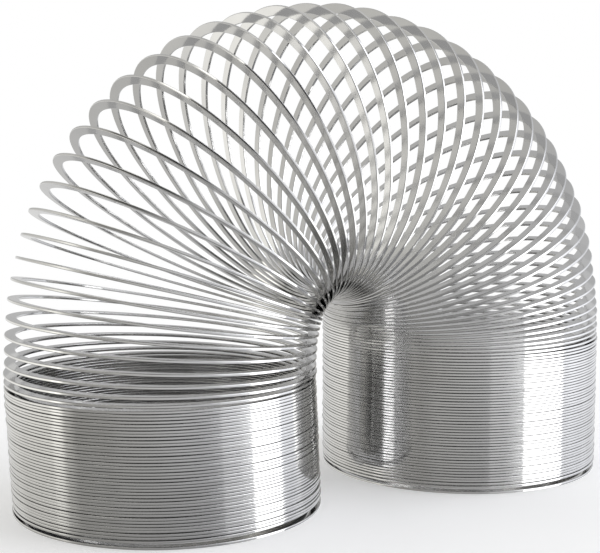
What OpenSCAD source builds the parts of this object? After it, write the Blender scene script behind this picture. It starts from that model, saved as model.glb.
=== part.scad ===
// Spring coil toy: one long flat wire, wound edge-on into a close helix, that stands as an arch.
// The arch lies in the XZ plane. The near stack is on the -X side and the far stack on the +X side,
// and both stand on z = 0. Every turn of the wire is two half washers, the back half (y > 0) and the
// front half (y < 0). Each climbs half a pitch, so the wire runs on without a step.

/* [Wire] */
// Outer diameter of the coil
coil_d = 70; // [50:1:100]
// Width of the flat wire, across the coil's wall
wire_w = 2.4; // [1.6:0.1:3.2]
// Thickness of the flat wire, along the coil's axis
wire_t = 0.52; // [0.3:0.02:0.54]
// Bevel along the wire's four long edges
wire_bevel = 0.12; // [0.05:0.01:0.14]
// Climb of each turn where the coil is closed
pitch = 0.675; // [0.66:0.005:0.8]

/* [Arch] */
// Turns from the first that leans at all to the last, both counted
arch_turns = 51; // [46:1:60]
// Share of those turns over which the lean sets in, beside the near stack
ease_near = 0.324; // [0.3:0.002:0.45]
// Share of the full change of lean per turn with which the arch starts on the near stack
onset = 0.12; // [0:0.01:0.3]
// Share of those turns over which the lean dies out, beside the far stack
ease_far = 0.541; // [0.4:0.001:0.6]
// Leaning turns that stay with the near stack, because they hardly open
near_kept = 1; // [1:1:8]
// Leaning turns that stay with the far stack
far_kept = 6; // [3:1:8]
// How far the first turns beside the near stack are drawn apart along the coil, at the most
drawn_gap = 1.05; // [0:0.05:1.5]
// Number of turns over which they are
drawn_turns = 9.6; // [4:0.1:16]

/* [Stacks] */
// Closed turns of the near stack above its flat bottom turn
near_turns = 41; // [30:1:60]
// Closed turns of the far stack above its flat bottom turn, and half a turn more
far_turns = 43; // [30:1:60]
// How far the near stack's foot is pushed towards the arch, from its top
near_lean = 1.3; // [0:0.1:2]
// Angle of a bottom turn over which the wire ramps up to the turn above
ramp_angle = 30; // [20:1:60]

/* [End crimps] */
// Length of each crimp band along the wire
crimp_l = 5; // [4:0.5:7]
// Thickness of the crimp band's sheet
crimp_t = 0.25; // [0.2:0.05:0.3]
// Clearance between the crimp band and the wire
crimp_gap = 0.12; // [0.1:0.01:0.2]
// Angle round the coil from the wire's end, on a bottom turn's +X side, to the crimp's middle
crimp_angle = 30; // [20:1:45]

/* [Hidden] */
// Segments of a full turn in the preview
$fn = 96;
// Steel, as the lamps colour it
steel = [0.72, 0.73, 0.74];
// Radius of the wire's middle line
r = (coil_d - wire_w) / 2;

// The share of the whole lean that is reached at share u of the arch's turns: it eases in and out
function eased(u) = let (a = ease_near, b = ease_far, v = 1 - u, lost = a * (1 - onset) / 2)
    u <= a ? onset * u + (1 - onset) * (u - a / PI * sin(180 * u / a)) / 2
    : u <= 1 - b ? u - lost
    : 1 - lost - b / 2 - (v - b / PI * sin(180 * v / b)) / 2;
// Lean of arch turn k, in degrees: 0 is level, 180 is upside down
function lean(k) = 180 * eased((k + 0.5) / arch_turns) / eased(1);

// Climb of arch turn k: the pitch, and more where the turns are drawn apart
drawn_lead = 1.5;
function climb_of(k) = pitch + (k >= drawn_turns ? 0
    : drawn_gap * pow(sin(180 * (k + drawn_lead) / (drawn_turns + drawn_lead)), 2));

// Where the wire starts each arch turn at its inner side, as [x, z] from the first one
path = [for (k = 0, x = 0, z = 0; k <= arch_turns;
             x = x + climb_of(k) * sin(lean(k)), z = z + climb_of(k) * cos(lean(k)), k = k + 1)
        [x, z]];
// Half the gap between the stacks, from wire middle to wire middle
half_gap = path[arch_turns][0] / 2;
// Where the middles of the two bottom turns are
near_foot = near_lean - half_gap - r;
far_foot = half_gap + r;
// Height of the wire's middle where the arch starts, and where it ends
near_top = wire_t / 2 + pitch * (1 + near_turns);
far_top = near_top + path[arch_turns][1];
// Angle round the coil at which the crimp ends
crimp_reach = crimp_angle + asin(crimp_l / 2 / r);
// How far a ramp's end runs on into the turn that it joins
joint_angle = 0.1;
// Clearance over the crimp's lower lip, in the notch under the wire
lip_gap = 0.02;
// Climb of the turn that starts on top of a bottom turn, with room for the crimp's upper lip
first_climb = (wire_t + 2 * crimp_gap + crimp_t) / (1 - (1 - cos(crimp_reach)) / 4);
// Height at which turn i of a stack starts, where those above turn 0 climb by climb
function stack_z(i, climb) = wire_t / 2 + pitch + (i > 0 ? first_climb + climb * (i - 1) : 0);
// Climb of each closed turn above turn 0: the far stack has half a turn more than its count
near_pitch = (near_top - stack_z(1, 0)) / (near_turns - 1);
far_pitch = (far_top - stack_z(1, 0)) / (far_turns - 0.5);

// The inner point of arch turn k, in the part's own frame
function inner(k) = [path[k][0] - half_gap, 0, near_top + path[k][1]];

// The turns that have a node and a hinge of their own
free_turns = [near_kept : arch_turns - far_kept - 1];
function two(n) = str(n < 10 ? "0" : "", n);
function turn_name(k) = str("fan_turn_", two(k - near_kept + 1));

// Section of the flat wire, its middle at the origin
module wire_section() {
    w = wire_w / 2;
    t = wire_t / 2;
    c = wire_bevel;
    polygon([[-w, c - t], [c - w, -t], [w - c, -t], [w, c - t],
             [w, t - c], [w - c, t], [c - w, t], [-w, t - c]]);
}

// Half a washer of wire, on the y > 0 side, round the origin
module half_ring() {
    rotate_extrude(angle = 180) translate([r, 0]) wire_section();
}

// Half a turn of the helix on the y > 0 side: it climbs from x = 0 to x = -2r
module back_half(climb) {
    translate([-r, 0, climb / 4]) rotate([0, asin(climb / 4 / r), 0]) half_ring();
}

// Half a turn of the helix on the y < 0 side: it climbs from x = -2r back to x = 0
module front_half(climb) {
    translate([-r, 0, climb * 3 / 4]) rotate([0, -asin(climb / 4 / r), 0])
        rotate([0, 0, 180]) half_ring();
}

// One turn of the helix
module helix_turn(climb) {
    back_half(climb);
    front_half(climb);
}

// Arch turn k in its place
module arch_turn(k) {
    translate(inner(k)) rotate([0, lean(k), 0]) helix_turn(climb_of(k));
}

// A bottom turn: flat, then up a ramp to the turn above at its +X side, with a notch under it
// that the crimp's lower lip is pressed into
module bottom_turn() {
    difference() {
        translate([0, 0, wire_t / 2]) {
            rotate_extrude(angle = 360 - ramp_angle) translate([r, 0]) wire_section();
            rotate([0, 0, -ramp_angle]) rotate([asin(pitch / r / sin(ramp_angle)), 0, 0])
                rotate_extrude(angle = ramp_angle + joint_angle) translate([r, 0]) wire_section();
        }
        crimp_place() translate([-crimp_l / 2 - crimp_gap, -wire_w, -crimp_t])
            cube([crimp_l + 2 * crimp_gap, 2 * wire_w, 2 * crimp_t + lip_gap]);
    }
}

// Turn i of a stack, its +X side at the origin
module stack_turn(i, climb) {
    translate([0, 0, stack_z(i, climb)]) helix_turn(i > 0 ? climb : first_climb);
}

// Puts its children on a bottom turn where the crimp is, behind the wire's end
module crimp_place() {
    rotate([0, 0, crimp_angle]) translate([r, 0, 0]) rotate([0, 0, 90]) children();
}

// A crimp band, round the bottom turn and the turn on top of it
module crimp_band() {
    inside = wire_t + pitch + first_climb / 4 * (1 - cos(crimp_reach)) + crimp_gap - crimp_t;
    w = wire_w + 2 * crimp_gap;
    difference() {
        translate([-crimp_l / 2, -w / 2 - crimp_t, 0])
            cube([crimp_l, w + 2 * crimp_t, inside + 2 * crimp_t]);
        translate([-crimp_l, -w / 2, crimp_t]) cube([2 * crimp_l, w, inside]);
    }
}

module near_stack() {
    color(steel) {
        translate([near_foot, 0, 0]) bottom_turn();
        for (i = [0 : near_turns - 1])
            translate([near_lean * (1 - i / near_turns) - half_gap, 0, 0])
                stack_turn(i, near_pitch);
        for (k = [0 : near_kept - 1]) arch_turn(k);
    }
}

module far_stack() {
    color(steel) {
        translate([far_foot, 0, 0]) bottom_turn();
        translate([far_foot + r, 0, 0]) {
            for (i = [0 : far_turns - 1]) stack_turn(i, far_pitch);
            translate([0, 0, stack_z(far_turns, far_pitch)]) back_half(far_pitch);
        }
        for (k = [arch_turns - far_kept : arch_turns - 1]) arch_turn(k);
    }
}

module near_end_crimp() {
    color(steel) translate([near_foot, 0, 0]) crimp_place() crimp_band();
}

module far_end_crimp() {
    color(steel) translate([far_foot, 0, 0]) crimp_place() crimp_band();
}

near_stack();
near_end_crimp();
for (k = free_turns) color(steel) arch_turn(k);
far_stack();
far_end_crimp();
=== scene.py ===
# Looks of the spring coil toy: the whole wire as one smooth helix, cut into the CAD bodies' turns.
import math

import bmesh
import bpy
import numpy as np
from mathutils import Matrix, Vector


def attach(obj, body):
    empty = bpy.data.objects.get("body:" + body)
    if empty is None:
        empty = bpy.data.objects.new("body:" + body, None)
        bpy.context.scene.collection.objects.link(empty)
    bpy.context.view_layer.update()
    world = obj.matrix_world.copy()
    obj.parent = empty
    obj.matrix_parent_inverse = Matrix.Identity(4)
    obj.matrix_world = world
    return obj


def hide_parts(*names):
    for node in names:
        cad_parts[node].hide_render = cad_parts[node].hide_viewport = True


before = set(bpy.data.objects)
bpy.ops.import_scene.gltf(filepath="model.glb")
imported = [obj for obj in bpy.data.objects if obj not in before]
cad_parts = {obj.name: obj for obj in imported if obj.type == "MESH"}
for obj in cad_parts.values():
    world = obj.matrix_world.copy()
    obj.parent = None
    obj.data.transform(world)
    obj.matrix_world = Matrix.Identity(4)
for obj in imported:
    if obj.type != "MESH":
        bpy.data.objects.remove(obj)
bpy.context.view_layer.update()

MM = 0.001

# ---------------------------------------------------------------- the coil's driving dimensions, in mm
COIL_D = 70.0
WIRE_W = 2.4
CAD_WIRE_T = 0.52
WIRE_T = 0.61           # thicker than the CAD wire, so that closed turns all but touch
EDGE_RADIUS = 0.16      # the rolled wire's rounded edges
PITCH = 0.675           # climb of each turn where the coil is closed
ARCH_TURNS = 51         # turns that lean, from the near stack to the far stack
EASE_NEAR, EASE_FAR = 0.324, 0.541      # shares of them over which the lean sets in and dies out
ONSET = 0.12            # share of the full change of lean per turn with which the arch starts
# How far the first turns of the arch are drawn apart, over how many turns, and the head start
DRAWN_GAP, DRAWN_TURNS, DRAWN_LEAD = 1.05, 9.6, 1.5
NEAR_KEPT, FAR_KEPT = 1, 6              # leaning turns that stay with each stack
NEAR_TURNS, FAR_TURNS = 41, 43          # closed turns above each bottom turn
NEAR_LEAN = 1.3         # how far the near stack's foot is pushed towards the arch
CRIMP_L, CRIMP_T, CRIMP_GAP = 5.0, 0.25, 0.12   # length, sheet thickness and clearance
CRIMP_ANGLE = 30.0      # degrees from the wire's end to the crimp's middle
RAMP_ANGLE = 30.0       # degrees over which a bottom turn ramps up
LIP_GAP = 0.02          # clearance over the crimp's lower lip

R = (COIL_D - WIRE_W) / 2       # radius of the wire's middle line
STEPS = 120             # segments of a turn
CORNER_STEPS = 2        # segments of each rounded edge of the wire


# ---------------------------------------------------------------- the wire's middle line
def eased(u):
    """Share of the whole lean that is reached at share u of the arch's turns."""
    a, b = EASE_NEAR, EASE_FAR
    u = np.clip(u, 0, 1)
    v = 1 - u
    lost = a * (1 - ONSET) / 2
    start = ONSET * u + (1 - ONSET) * (u - a / math.pi * np.sin(math.pi * u / a)) / 2
    end = 1 - lost - b / 2 - (v - b / math.pi * np.sin(math.pi * v / b)) / 2
    return np.where(u <= a, start, np.where(u <= 1 - b, u - lost, end))


def lean(k):
    """Lean of arch turn k as a whole, in radians."""
    return math.pi * eased((k + 0.5) / ARCH_TURNS) / eased(1)


def section_lean(s):
    """Lean of the wire itself at s turns from the arch's start."""
    return math.pi * eased(s / ARCH_TURNS) / eased(1)


TURNS = np.arange(ARCH_TURNS)
CLIMBS = PITCH + np.where(TURNS < DRAWN_TURNS, DRAWN_GAP * np.sin(
    math.pi * (TURNS + DRAWN_LEAD) / (DRAWN_TURNS + DRAWN_LEAD)) ** 2, 0.0)
STEP_X, STEP_Z = CLIMBS * np.sin(lean(TURNS)), CLIMBS * np.cos(lean(TURNS))
PATH_X, PATH_Z = np.r_[0, np.cumsum(STEP_X)], np.r_[0, np.cumsum(STEP_Z)]
HALF_GAP = PATH_X[-1] / 2
NEAR_TOP = CAD_WIRE_T / 2 + PITCH * (1 + NEAR_TURNS)
FAR_TOP = NEAR_TOP + PATH_Z[-1]
CRIMP_HALF_ANGLE = math.degrees(math.asin((CRIMP_L / 2 + CRIMP_GAP) / R))
CRIMP_REACH = math.radians(CRIMP_ANGLE) + math.asin(CRIMP_L / 2 / R)
# The turn on top of a bottom turn climbs over the crimp's upper lip
FIRST_CLIMB = (CAD_WIRE_T + 2 * CRIMP_GAP + CRIMP_T) / (1 - (1 - math.cos(CRIMP_REACH)) / 4)
STACK_START = CAD_WIRE_T / 2 + PITCH
NEAR_PITCH = (NEAR_TOP - STACK_START - FIRST_CLIMB) / (NEAR_TURNS - 1)
FAR_PITCH = (FAR_TOP - STACK_START - FIRST_CLIMB) / (FAR_TURNS - 0.5)
# The wire runs from s = FIRST_S to LAST_S, in turns from the arch's start
FIRST_S = -NEAR_TURNS - 1
LAST_S = ARCH_TURNS + FAR_TURNS + 1.5


def smooth(t):
    """0 below t = 0, 1 above t = 1, and an S-curve between."""
    t = np.clip(t, 0, 1)
    return t * t * (3 - 2 * t)


def stack_height(i, climb):
    """Height of the wire's middle at i turns above a bottom turn's top; i is -1 at the wire's end."""
    ramp = RAMP_ANGLE / 360
    bottom = WIRE_T / 2 + (STACK_START - WIRE_T / 2) * smooth((i + ramp) / ramp)
    above = STACK_START + FIRST_CLIMB * np.clip(i, 0, 1) + climb * np.maximum(i - 1, 0)
    return np.where(i < 0, bottom, above)


WOBBLE = np.random.default_rng(7)
WAVES = [(f, WOBBLE.uniform(0, 2 * math.pi), WOBBLE.uniform(0, 2 * math.pi))
         for f in (0.37, 0.83, 1.41, 2.23, 3.31, 4.57)]     # waves per turn
WAVE_SIZE = 0.045       # how far the wire strays outwards from a true circle, in mm
WAVE_ALONG = 0.15       # share of that by which it strays along the coil's axis
STILL_TURNS = 3         # turns over which the second kind dies out at the wire's ends


def wobble(s):
    """Small errors of the wire, out from the coil's middle and along its axis."""
    out = sum(np.sin(2 * math.pi * f * s + a) / math.sqrt(f) for f, a, _ in WAVES)
    along = sum(np.sin(2 * math.pi * f * s + b) / math.sqrt(f) for f, _, b in WAVES)
    ends = smooth((s - FIRST_S) / STILL_TURNS) * smooth((LAST_S - s) / STILL_TURNS)
    return WAVE_SIZE * out, WAVE_ALONG * WAVE_SIZE * along * ends


def middle_line(s):
    """The wire's middle and its thickness direction at each s, in mm."""
    k = np.clip(np.floor(s), 0, ARCH_TURNS - 1).astype(int)
    in_arch = (s >= 0) & (s <= ARCH_TURNS)
    u = np.where(in_arch, s - k, s - np.floor(s))
    phi = 2 * math.pi * u
    tilt = np.where(s < 0, 0.0, np.where(s > ARCH_TURNS, math.pi, lean(k)))
    twist = np.where(in_arch, section_lean(k + 1) - section_lean(k), 0.0)
    # the lean changes along the turn, and this lift takes up what it adds to the rigid turn
    lift = R * twist * ((np.sin(phi) - phi * np.cos(phi)) / (2 * math.pi) + (np.cos(phi) - 1) / 2 + u)
    out, along = wobble(s)
    ring_x = -R + (R + out) * np.cos(phi)
    ring_y = (R + out) * np.sin(phi)
    climb = np.where(in_arch, CLIMBS[k] * u + lift, 0.0) + along
    near_x = -HALF_GAP - NEAR_LEAN * s / NEAR_TURNS
    base_x = np.where(s < 0, np.minimum(near_x, NEAR_LEAN - HALF_GAP),
                      np.where(s > ARCH_TURNS, HALF_GAP, PATH_X[k] - HALF_GAP))
    base_z = np.where(s < 0, stack_height(s + NEAR_TURNS, NEAR_PITCH),
                      np.where(s > ARCH_TURNS, stack_height(LAST_S - 1 - s, FAR_PITCH),
                               NEAR_TOP + PATH_Z[k]))
    x = base_x + ring_x * np.cos(tilt) + climb * np.sin(tilt)
    z = base_z - ring_x * np.sin(tilt) + climb * np.cos(tilt)
    across = section_lean(s)
    return (np.stack([x, ring_y, z], -1),
            np.stack([np.sin(across), 0 * s, np.cos(across)], -1))


# ---------------------------------------------------------------- the wire's mesh
def put(name, data):
    """A new object in the scene."""
    thing = bpy.data.objects.new(name, data)
    bpy.context.scene.collection.objects.link(thing)
    return thing


def wire_outline():
    """Points and normals round the wire's section, as (across, thick) in mm."""
    points, normals = [], []
    for quarter, (sx, sy) in enumerate([(1, 1), (-1, 1), (-1, -1), (1, -1)]):
        cx, cy = sx * (WIRE_W / 2 - EDGE_RADIUS), sy * (WIRE_T / 2 - EDGE_RADIUS)
        for i in range(CORNER_STEPS + 1):
            a = math.pi / 2 * (quarter + i / CORNER_STEPS)
            n = (math.cos(a), math.sin(a))
            points.append((cx + EDGE_RADIUS * n[0], cy + EDGE_RADIUS * n[1]))
            normals.append(n)
    return np.array(points), np.array(normals)


def unit(v):
    """The vectors v, each cut to length 1."""
    return v / np.linalg.norm(v, axis=-1, keepdims=True)


def wire_piece(name, start, end):
    """The wire from s = start to s = end as one closed mesh, with the length along it as UV."""
    n = int(round((end - start) * STEPS))
    s = np.linspace(start, end, n + 1)
    tiny = 1e-4     # turns, for the tangents
    p, thick = middle_line(s)
    ahead, behind = middle_line(s + tiny)[0], middle_line(s - tiny)[0]
    tangent = unit(ahead - behind)
    for i, inward in ((0, 1), (-1, -1)):    # one-sided at the piece's ends
        tangent[i] = unit(inward * (middle_line(s[[i]] + inward * 2 * tiny)[0][0] - p[i]))
    across = unit(np.cross(tangent, thick))
    thick = np.cross(across, tangent)
    outline, outline_n = wire_outline()
    m = len(outline)
    co = p[:, None] + across[:, None] * outline[None, :, :1] + thick[:, None] * outline[None, :, 1:]
    no = across[:, None] * outline_n[None, :, :1] + thick[:, None] * outline_n[None, :, 1:]
    # the wire is notched for the crimp's lower lip
    under_crimp = np.abs(np.minimum(s - FIRST_S, LAST_S - s) * 360 - CRIMP_ANGLE) < CRIMP_HALF_ANGLE
    co[under_crimp, :, 2] = np.maximum(co[under_crimp, :, 2], CRIMP_T + LIP_GAP)
    i, j = np.meshgrid(np.arange(n), np.arange(m), indexing="ij")
    nxt = (j + 1) % m
    quads = np.stack([i * m + j, (i + 1) * m + j, (i + 1) * m + nxt, i * m + nxt], -1).reshape(-1, 4)
    first, last = list(range(m)), [n * m + q for q in range(m)][::-1]
    mesh = bpy.data.meshes.new(name)
    faces = [tuple(q) for q in quads.tolist()] + [tuple(first), tuple(last)]
    mesh.from_pydata((co.reshape(-1, 3) * MM).tolist(), [], faces)
    loops_no = np.concatenate([no.reshape(-1, 3)[quads.ravel()],
                               np.repeat(-tangent[:1], m, 0), np.repeat(tangent[-1:], m, 0)])
    corner = np.concatenate([quads.ravel(), first, last])
    along = s * 2 * math.pi * R * MM
    u, v = along[corner // m], (corner % m) / m
    v[:len(quads) * 4] = np.stack([j / m, j / m, (j + 1) / m, (j + 1) / m], -1).ravel()
    uv = mesh.uv_layers.new(name="wire")
    uv.data.foreach_set("uv", np.stack([u, v], -1).astype(np.float32).ravel())
    mesh.polygons.foreach_set("use_smooth", np.ones(len(faces), bool))
    mesh.update()
    mesh.normals_split_custom_set(loops_no.tolist())
    return put(name, mesh)


# ---------------------------------------------------------------- the crimps' mesh
CRIMP_CORNER = 0.35     # outer radius of the band's bends
CRIMP_LENGTHS = 10      # points along the band between its eased edges
CRIMP_CORNER_STEPS = 4  # segments of each bend
DIMPLE = 0.07           # depth of the punch mark that locks the band
DIMPLE_L, DIMPLE_W = 0.9, 0.5   # how far it spreads along and across the band
SHARP = math.radians(40)        # the band's edges turn more than this


def band_outline(width, height, radius):
    """A rectangle with round corners, from y = 0 up, anticlockwise from its right side."""
    corners = [(width / 2, height, 0), (-width / 2, height, 1), (-width / 2, 0, 2), (width / 2, 0, 3)]
    points = []
    for x, y, quarter in corners:
        cx = x - math.copysign(radius, x)
        cy = y - radius if y > 0 else radius
        for i in range(CRIMP_CORNER_STEPS + 1):
            a = math.pi / 2 * (quarter + i / CRIMP_CORNER_STEPS)
            points.append((cx + radius * math.cos(a), cy + radius * math.sin(a)))
    return np.array(points)


def crimp_piece(name, foot_x):
    """A sheet band bent round the wire's end and the turn on top of it, curved with the coil."""
    w = WIRE_W + 2 * CRIMP_GAP
    h = CAD_WIRE_T + PITCH + FIRST_CLIMB / 4 * (1 - math.cos(CRIMP_REACH)) + CRIMP_GAP - CRIMP_T
    outer = band_outline(w + 2 * CRIMP_T, h + 2 * CRIMP_T, CRIMP_CORNER)
    inner = band_outline(w, h, CRIMP_CORNER - CRIMP_T) + np.array([0, CRIMP_T])
    m = len(outer)
    edge = CRIMP_T / 4      # the sheet's cut edges are eased
    along = np.r_[0, edge, np.linspace(2 * edge, CRIMP_L - 2 * edge, CRIMP_LENGTHS),
                  CRIMP_L - edge, CRIMP_L] - CRIMP_L / 2
    shrink = np.clip((np.abs(along) - (CRIMP_L / 2 - edge)) / edge, 0, 1) * edge / 2
    rings = []
    for loop, sign in ((outer, -1), (inner, 1)):
        middle = np.array([0, CRIMP_T + h / 2])
        away = unit(loop - middle)
        for a, d in zip(along, shrink):
            ring = loop + sign * away * d
            if sign < 0:
                near = np.exp(-((a / DIMPLE_L) ** 2 + (ring[:, 0] / DIMPLE_W) ** 2))
                ring = ring - np.stack([0 * near, DIMPLE * near * (ring[:, 1] > middle[1])], -1)
            turn = math.radians(CRIMP_ANGLE) + a / R
            radius = R + ring[:, 0]
            rings.append(np.stack([foot_x + radius * math.cos(turn), radius * math.sin(turn),
                                   np.maximum(ring[:, 1], 0)], -1))
    co = np.concatenate(rings)
    n = len(along)

    def at(layer, i, j):
        return (layer * n + i) * m + j % m

    faces = [(at(0, i, j), at(0, i, j + 1), at(0, i + 1, j + 1), at(0, i + 1, j))
             for i in range(n - 1) for j in range(m)]
    faces += [(at(1, i, j), at(1, i + 1, j), at(1, i + 1, j + 1), at(1, i, j + 1))
              for i in range(n - 1) for j in range(m)]
    faces += [(at(0, 0, j), at(1, 0, j), at(1, 0, j + 1), at(0, 0, j + 1)) for j in range(m)]
    faces += [(at(0, n - 1, j), at(0, n - 1, j + 1), at(1, n - 1, j + 1), at(1, n - 1, j))
              for j in range(m)]
    mesh = bpy.data.meshes.new(name)
    mesh.from_pydata((co * MM).tolist(), [], faces)
    work = bmesh.new()
    work.from_mesh(mesh)
    bmesh.ops.recalc_face_normals(work, faces=work.faces)
    work.to_mesh(mesh)
    work.free()
    mesh.polygons.foreach_set("use_smooth", np.ones(len(faces), bool))
    mesh.set_sharp_from_angle(angle=SHARP)
    return put(name, mesh)


# ---------------------------------------------------------------- materials
def add(nodes, kind, **values):
    """A node with its inputs or settings set by name."""
    node = nodes.new(kind)
    for key, value in values.items():
        if key in node.inputs:
            node.inputs[key].default_value = value
        else:
            setattr(node, key, value)
    return node


def blank(name):
    """A new material, with its nodes, its links and its shader."""
    material = bpy.data.materials.new(name)
    material.use_nodes = True
    tree = material.node_tree
    return material, tree.nodes, tree.links, tree.nodes["Principled BSDF"]


def noise(nodes, links, where, scale, **values):
    """Noise at the coordinates where, each of them scaled first."""
    scaled = add(nodes, "ShaderNodeMapping", Scale=scale)
    links.new(where, scaled.inputs["Vector"])
    texture = add(nodes, "ShaderNodeTexNoise", Scale=1.0, **values)
    links.new(scaled.outputs["Vector"], texture.inputs["Vector"])
    return texture.outputs["Fac"]


BUMP = 0.00002          # height of the bumps in the metal, in metres


def bare_metal(nodes, links, shader, tone, colours, polish, roughness, relief, strength):
    """Metal with its colour, roughness and bumps each led by a noise: tone, polish and relief."""
    shader.inputs["Metallic"].default_value = 1.0
    colour = add(nodes, "ShaderNodeMix", data_type="RGBA")
    for end, rgb in zip("AB", colours):
        colour.inputs[end].default_value = (*rgb, 1)
    links.new(tone, colour.inputs["Factor"])
    links.new(colour.outputs["Result"], shader.inputs["Base Color"])
    rough = add(nodes, "ShaderNodeMapRange")
    rough.inputs["To Min"].default_value, rough.inputs["To Max"].default_value = roughness
    links.new(polish, rough.inputs["Value"])
    links.new(rough.outputs["Result"], shader.inputs["Roughness"])
    bump = add(nodes, "ShaderNodeBump", Strength=strength, Distance=BUMP)
    links.new(relief, bump.inputs["Height"])
    links.new(bump.outputs["Normal"], shader.inputs["Normal"])


def wire_steel():
    """Bright rolled steel: faint drawing streaks along the wire, soft stains, and small waves."""
    material, nodes, links, shader = blank("wire_steel")
    shader.inputs["IOR"].default_value = 2.5
    along = add(nodes, "ShaderNodeUVMap", uv_map="wire").outputs["UV"]
    streaks = noise(nodes, links, along, (60.0, 9.0, 1.0), Detail=4.0, Roughness=0.6)
    waves = noise(nodes, links, along, (120.0, 0.6, 1.0), Detail=2.0, Roughness=0.55)
    stain = add(nodes, "ShaderNodeTexNoise", Scale=60.0, Detail=3.0, Roughness=0.5)
    links.new(add(nodes, "ShaderNodeTexCoord").outputs["Object"], stain.inputs["Vector"])
    bare_metal(nodes, links, shader, stain.outputs["Fac"], [(0.68, 0.675, 0.665), (0.86, 0.86, 0.855)],
               streaks, (0.05, 0.13), waves, 1.0)
    return material


def crimp_steel():
    """Plain sheet steel, pressed flat round the wire: brushed, duller than the wire."""
    material, nodes, links, shader = blank("crimp_steel")
    where = add(nodes, "ShaderNodeTexCoord").outputs["Object"]
    brush = noise(nodes, links, where, (900.0, 900.0, 6000.0), Detail=3.0)
    bare_metal(nodes, links, shader, brush, [(0.42, 0.42, 0.43), (0.60, 0.60, 0.60)],
               brush, (0.28, 0.45), brush, 0.3)
    return material


STEEL = wire_steel()
CRIMP = crimp_steel()


# ---------------------------------------------------------------- the pieces
def place(piece, node, body, material):
    """Gives a piece its material, and puts it on a body in a CAD node's stead."""
    piece.data.materials.append(material)
    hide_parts(node)
    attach(piece, body)


place(wire_piece("near_stack_wire", FIRST_S, NEAR_KEPT), "near_stack", "near_end",
      STEEL)
place(wire_piece("far_stack_wire", ARCH_TURNS - FAR_KEPT, LAST_S), "far_stack", "far_end",
      STEEL)
for k in range(NEAR_KEPT, ARCH_TURNS - FAR_KEPT):
    number = f"{k - NEAR_KEPT + 1:02d}"
    place(wire_piece(f"fan_wire_{number}", k, k + 1), f"fan_turn_{number}", f"turn_{number}",
          STEEL)

place(crimp_piece("near_crimp_band", NEAR_LEAN - HALF_GAP - R), "near_end_crimp", "near_end",
      CRIMP)
place(crimp_piece("far_crimp_band", HALF_GAP + R), "far_end_crimp", "far_end", CRIMP)

# ---------------------------------------------------------------- camera
CAMERA_AZIMUTH, CAMERA_ELEVATION = math.radians(29.34), math.radians(6.25)
CAMERA_DISTANCE, CAMERA_LENS = 0.297, 74.5      # metres, millimetres
TARGET = Vector((-0.0055, 0, 0.05))
forward = Vector((math.sin(CAMERA_AZIMUTH) * math.cos(CAMERA_ELEVATION),
                  math.cos(CAMERA_AZIMUTH) * math.cos(CAMERA_ELEVATION),
                  -math.sin(CAMERA_ELEVATION)))
camera = put("camera", bpy.data.cameras.new("camera"))
camera.data.lens = CAMERA_LENS
camera.location = TARGET - forward * CAMERA_DISTANCE
camera.rotation_euler = forward.to_track_quat("-Z", "Y").to_euler()
bpy.context.scene.camera = camera

# ---------------------------------------------------------------- studio light
TO_CAMERA = (-math.sin(CAMERA_AZIMUTH), -math.cos(CAMERA_AZIMUTH), 0)
TO_RIGHT = (math.cos(CAMERA_AZIMUTH), -math.sin(CAMERA_AZIMUTH), 0)
# Brightness of the studio round the object, at angles in degrees from the camera's side, + to its
# right: just below the level, far below it, just above it, higher up, and overhead
LOW_STUDIO = [(-180, 0.70), (-155, 0.82), (-138, 0.94), (-119, 1.02), (-98, 1.12), (-81, 1.15),
              (-77, 1.55), (-72, 1.55), (-66, 0.70), (-56, 0.37), (-37, 0.37), (-20, 0.51), (-5, 0.56),
              (10, 0.59), (22, 0.62), (36, 0.64), (60, 0.70), (80, 1.10), (90, 1.20), (102, 1.32),
              (116, 1.22), (135, 0.98), (180, 0.70)]
DOWN_STUDIO = [(-180, 0.52), (-130, 0.52), (-105, 0.25), (105, 0.25), (130, 0.52), (180, 0.52)]
EVEN_STUDIO = [(-180, 0.46), (-138, 0.56), (-119, 0.60), (-98, 0.70), (-77, 1.10), (-66, 0.62),
               (-56, 0.38), (-37, 0.38), (-20, 0.52), (22, 0.64), (60, 0.74), (80, 1.10),
               (102, 1.20), (116, 0.95), (135, 0.70), (180, 0.46)]
MID_STUDIO = [(-180, 0.50), (-130, 0.52), (-112, 0.46), (-100, 0.17), (-60, 0.09), (-10, 0.05),
              (50, 0.05), (65, 1.7), (115, 1.7), (130, 0.47), (180, 0.62)]
HIGH_STUDIO = [(-180, 0.62), (-130, 0.64), (-115, 1.6), (-65, 1.6), (-50, 0.17), (-10, 0.09),
               (50, 0.09), (65, 1.9), (115, 1.9), (130, 0.47), (180, 0.62)]
# Each part takes over from those before it between two elevations, in degrees
TIERS = [(-10, -20, DOWN_STUDIO), (-4, 3, EVEN_STUDIO), (22, 34, MID_STUDIO), (50, 62, HIGH_STUDIO)]
WARM_SIDE = -80         # azimuth of the studio's warm side; the far side is as much cooler
WARMTH = (0.02, 0.005, -0.05)


def socket(nodes, links, kind, inputs, output=0, **settings):
    """A node with its inputs set or linked, in order; gives back one of its outputs."""
    node = nodes.new(kind)
    for key, value in settings.items():
        setattr(node, key, value)
    for i, value in enumerate(inputs):
        if isinstance(value, bpy.types.NodeSocket):
            links.new(value, node.inputs[i])
        else:
            node.inputs[i].default_value = value
    return node.outputs[output]


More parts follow.
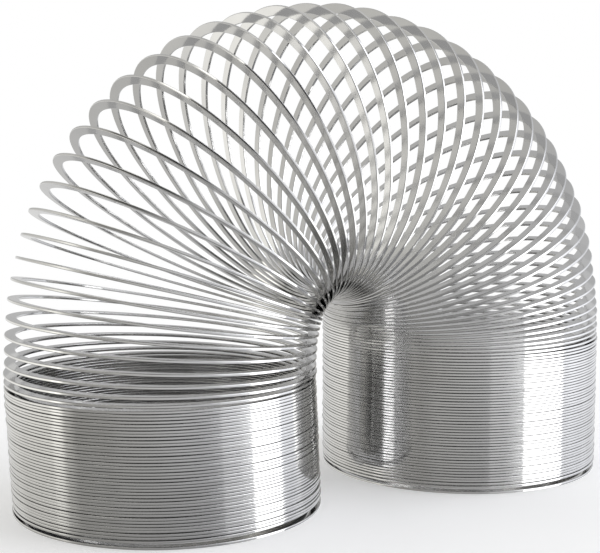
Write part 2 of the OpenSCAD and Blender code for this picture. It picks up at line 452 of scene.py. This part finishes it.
def around(nodes, links, azimuth, table):
    """Light looked up by azimuth, a socket in radians, from a table in degrees, and tinted."""
    top = max(light for _, light in table)
    most = 1 + max(WARMTH)
    share = socket(nodes, links, "ShaderNodeMapRange", [azimuth, -math.pi, math.pi])
    node = nodes.new("ShaderNodeValToRGB")
    links.new(share, node.inputs["Fac"])
    ramp = node.color_ramp
    ramp.interpolation = "EASE"
    while len(ramp.elements) < len(table):
        ramp.elements.new(0.5)
    for stop, (angle, light) in zip(ramp.elements, table):
        stop.position = (angle + 180) / 360
        warmth = math.cos(math.radians(angle - WARM_SIDE))
        stop.color = [light / top * (1 + warmth * w) / most for w in WARMTH] + [1]
    return socket(nodes, links, "ShaderNodeVectorMath", [node.outputs["Color"], (top * most,) * 3],
                  operation="MULTIPLY")


def studio(nodes, links, way):
    """Colour of the studio in the direction of the socket way."""
    right, front = (socket(nodes, links, "ShaderNodeVectorMath", [way, side], "Value",
                           operation="DOT_PRODUCT") for side in (TO_RIGHT, TO_CAMERA))
    up = socket(nodes, links, "ShaderNodeSeparateXYZ", [way], "Z")
    flat = socket(nodes, links, "ShaderNodeVectorMath", [way, (1, 1, 0)], operation="MULTIPLY")
    across = socket(nodes, links, "ShaderNodeVectorMath", [flat], "Value", operation="LENGTH")
    azimuth = socket(nodes, links, "ShaderNodeMath", [right, front], operation="ARCTAN2")
    elevation = socket(nodes, links, "ShaderNodeMath", [up, across], operation="ARCTAN2")
    colour = around(nodes, links, azimuth, LOW_STUDIO)
    for start, end, table in TIERS:
        mix = nodes.new("ShaderNodeMix")
        mix.data_type = "RGBA"
        risen = [elevation, math.radians(start), math.radians(end)]
        links.new(socket(nodes, links, "ShaderNodeMapRange", risen), mix.inputs["Factor"])
        links.new(colour, mix.inputs["A"])
        links.new(around(nodes, links, azimuth, table), mix.inputs["B"])
        colour = mix.outputs["Result"]
    return colour


def studio_world():
    """Backdrop: plain white where it is looked at, and the studio where steel reflects it."""
    world = bpy.data.worlds.new("studio")
    bpy.context.scene.world = world
    world.use_nodes = True
    nodes, links = world.node_tree.nodes, world.node_tree.links
    way = nodes.new("ShaderNodeTexCoord").outputs["Generated"]
    seen = nodes.new("ShaderNodeLightPath").outputs["Is Camera Ray"]
    mix = nodes.new("ShaderNodeMix")
    mix.data_type = "RGBA"
    links.new(seen, mix.inputs["Factor"])
    links.new(studio(nodes, links, way), mix.inputs["A"])
    mix.inputs["B"].default_value = (1, 1, 1, 1)
    links.new(mix.outputs["Result"], nodes["Background"].inputs["Color"])


FLOOR = 30.0                    # half of the floor's side, in metres
FLOOR_CLEAR = (0.05, 0.20)      # metres from the middle over which its shadows fade into the backdrop
FLOOR_GLOW = 0.35               # the floor's own light, which keeps it pale near the object


def studio_floor():
    """A pale floor that takes soft shadows near the object and runs out into the backdrop."""
    mesh = bpy.data.meshes.new("floor")
    mesh.from_pydata([(x * FLOOR, y * FLOOR, 0) for x, y in ((-1, -1), (1, -1), (1, 1), (-1, 1))],
                     [], [(0, 1, 2, 3)])
    floor = put("floor", mesh)
    paint, nodes, links, matt = blank("floor")
    mesh.materials.append(paint)
    matt.inputs["Base Color"].default_value = (0.9, 0.9, 0.9, 1)
    matt.inputs["Roughness"].default_value = 0.9
    matt.inputs["Specular IOR Level"].default_value = 0.1
    matt.inputs["Emission Color"].default_value = (1, 1, 1, 1)
    matt.inputs["Emission Strength"].default_value = FLOOR_GLOW
    spot = nodes.new("ShaderNodeNewGeometry").outputs["Position"]
    far = socket(nodes, links, "ShaderNodeVectorMath", [spot], "Value", operation="LENGTH")
    clear = socket(nodes, links, "ShaderNodeMapRange", [far, *FLOOR_CLEAR],
                   interpolation_type="SMOOTHSTEP")
    backdrop = socket(nodes, links, "ShaderNodeEmission", [(1, 1, 1, 1), 1.0])
    shown = socket(nodes, links, "ShaderNodeMixShader", [clear, matt.outputs[0], backdrop])
    links.new(shown, nodes["Material Output"].inputs["Surface"])
    floor.visible_glossy = False    # the steel mirrors the studio below the floor too


CARD_GAP, CARD_LIFT = 0.5, 0.05     # clearances from the bottom turn and over the floor, in mm
CARD_STEPS = 64


def shade_card():
    """A dark disc on the floor inside the near stack, seen only in the steel, for the shade there."""
    radius, foot_x = (R - WIRE_W / 2 - CARD_GAP) * MM, (NEAR_LEAN - HALF_GAP - R) * MM
    rim = np.linspace(0, 2 * math.pi, CARD_STEPS, endpoint=False)
    mesh = bpy.data.meshes.new("shade_card")
    mesh.from_pydata([(foot_x + radius * math.cos(a), radius * math.sin(a), CARD_LIFT * MM)
                      for a in rim], [], [tuple(range(CARD_STEPS))])
    card = put("shade_card", mesh)
    paint, _, _, matt = blank("shade_card")
    mesh.materials.append(paint)
    matt.inputs["Base Color"].default_value = (0.12, 0.12, 0.125, 1)
    matt.inputs["Roughness"].default_value = 1.0
    card.visible_camera = card.visible_diffuse = card.visible_shadow = False


def softbox(name, azimuth, distance, width, height, brightness):
    """An upright light in metres, as deep below the floor as above it; azimuth as in the tables."""
    a = math.radians(azimuth)
    way = Vector(TO_CAMERA) * math.cos(a) + Vector(TO_RIGHT) * math.sin(a)
    data = bpy.data.lights.new(name, "AREA")
    data.shape, data.size, data.size_y = "RECTANGLE", width, height
    data.energy = brightness * width * height * math.pi
    light = put(name, data)
    light.location = way * distance
    light.rotation_euler = way.to_track_quat("Z", "Y").to_euler()
    light.visible_camera = light.visible_diffuse = False


studio_world()
studio_floor()
shade_card()
softbox("right_box", azimuth=71, distance=0.17, width=0.092, height=0.4, brightness=1.55)
softbox("right_edge", azimuth=42, distance=0.17, width=0.07, height=0.4, brightness=0.15)
bpy.context.scene.view_settings.view_transform = "Standard"
